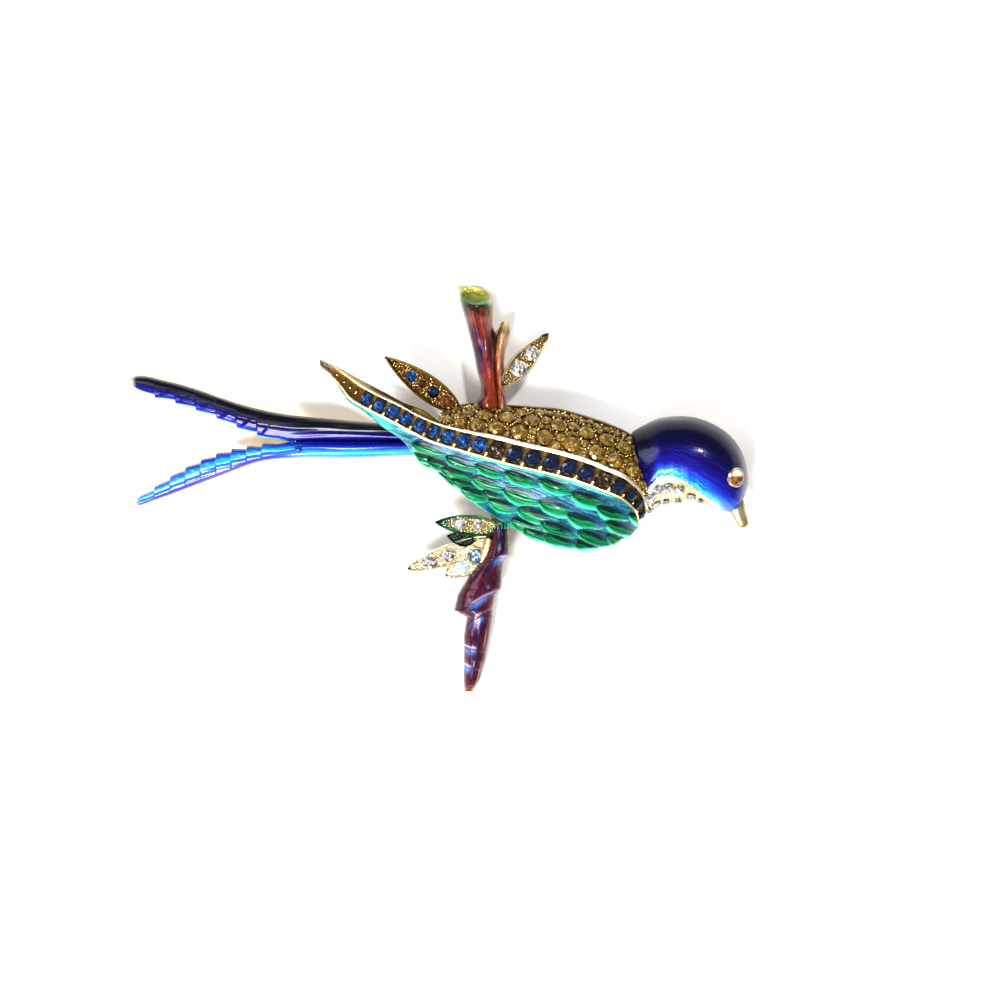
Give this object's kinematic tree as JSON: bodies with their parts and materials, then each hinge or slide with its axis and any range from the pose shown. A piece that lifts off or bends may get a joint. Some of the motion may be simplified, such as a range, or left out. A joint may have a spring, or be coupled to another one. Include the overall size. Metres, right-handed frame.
{
  "type": "figural animal brooch",
  "caption": "Figural bird brooch: an enamelled, stone-set bird with raised wing and forked tail, perched on a branch with leaves, over a pin finding.",
  "frame": {"origin": "middle of the brooch's outline, on the surface it lies on by itself", "axes": "+X from the tail to the head, +Y up the branch, +Z out of the face"},
  "size_m": [0.0766, 0.05, 0.0095],
  "materials": {
    "gold_metal": "polished, warm gold plating",
    "blue_enamel": "glossy enamel, navy to royal blue",
    "azure_enamel": "glossy enamel, azure",
    "green_enamel": "glossy translucent enamel, emerald and teal",
    "brown_enamel": "glossy enamel, brown and maroon",
    "coral_enamel": "glossy enamel, orange-red",
    "wine_enamel": "glossy enamel, wine red",
    "topaz_stone": "cut and foiled, opaque",
    "sapphire_stone": "cut and foiled, opaque",
    "clear_stone": "cut and foiled, opaque",
    "amber_stone": "cut and foiled, opaque",
    "steel_pin": "polished"
  },
  "bodies": {
    "root": {"casting": "gold_metal", "head_enamel": "blue_enamel", "wing_enamel": "green_enamel", "tail_enamel_upper": "blue_enamel", "tail_enamel_lower": "azure_enamel", "branch_enamel": "brown_enamel", "side_twig_enamel": "coral_enamel", "twig_enamel": "wine_enamel", "back_pave": "topaz_stone", "throat_pave": "clear_stone", "eye_stone": "amber_stone", "pin_back": "steel_pin", "wing_stone_01": "sapphire_stone", "wing_stone_02": "sapphire_stone", "wing_stone_03": "sapphire_stone", "wing_stone_04": "sapphire_stone", "wing_stone_05": "sapphire_stone", "wing_stone_06": "sapphire_stone", "wing_stone_07": "sapphire_stone", "wing_stone_08": "sapphire_stone", "wing_stone_09": "sapphire_stone", "wing_stone_10": "topaz_stone", "wing_stone_11": "sapphire_stone", "wing_stone_12": "sapphire_stone", "wing_stone_13": "sapphire_stone", "wing_stone_14": "sapphire_stone", "wing_stone_15": "sapphire_stone", "wing_stone_16": "topaz_stone", "wing_stone_17": "sapphire_stone", "wing_stone_18": "sapphire_stone", "wing_stone_19": "sapphire_stone", "wing_stone_20": "sapphire_stone", "far_wing_stone_1": "topaz_stone", "far_wing_stone_2": "sapphire_stone", "far_wing_stone_3": "topaz_stone", "far_wing_stone_4": "sapphire_stone", "right_leaf_stone_1": "clear_stone", "right_leaf_stone_2": "clear_stone", "lower_leaf_stone_1": "clear_stone", "lower_leaf_stone_2": "clear_stone", "lower_leaf_stone_3": "clear_stone", "lower_leaf_stone_4": "clear_stone", "lower_leaf_stone_5": "clear_stone", "lower_leaf_stone_6": "clear_stone"}
  },
  "joints": []
}
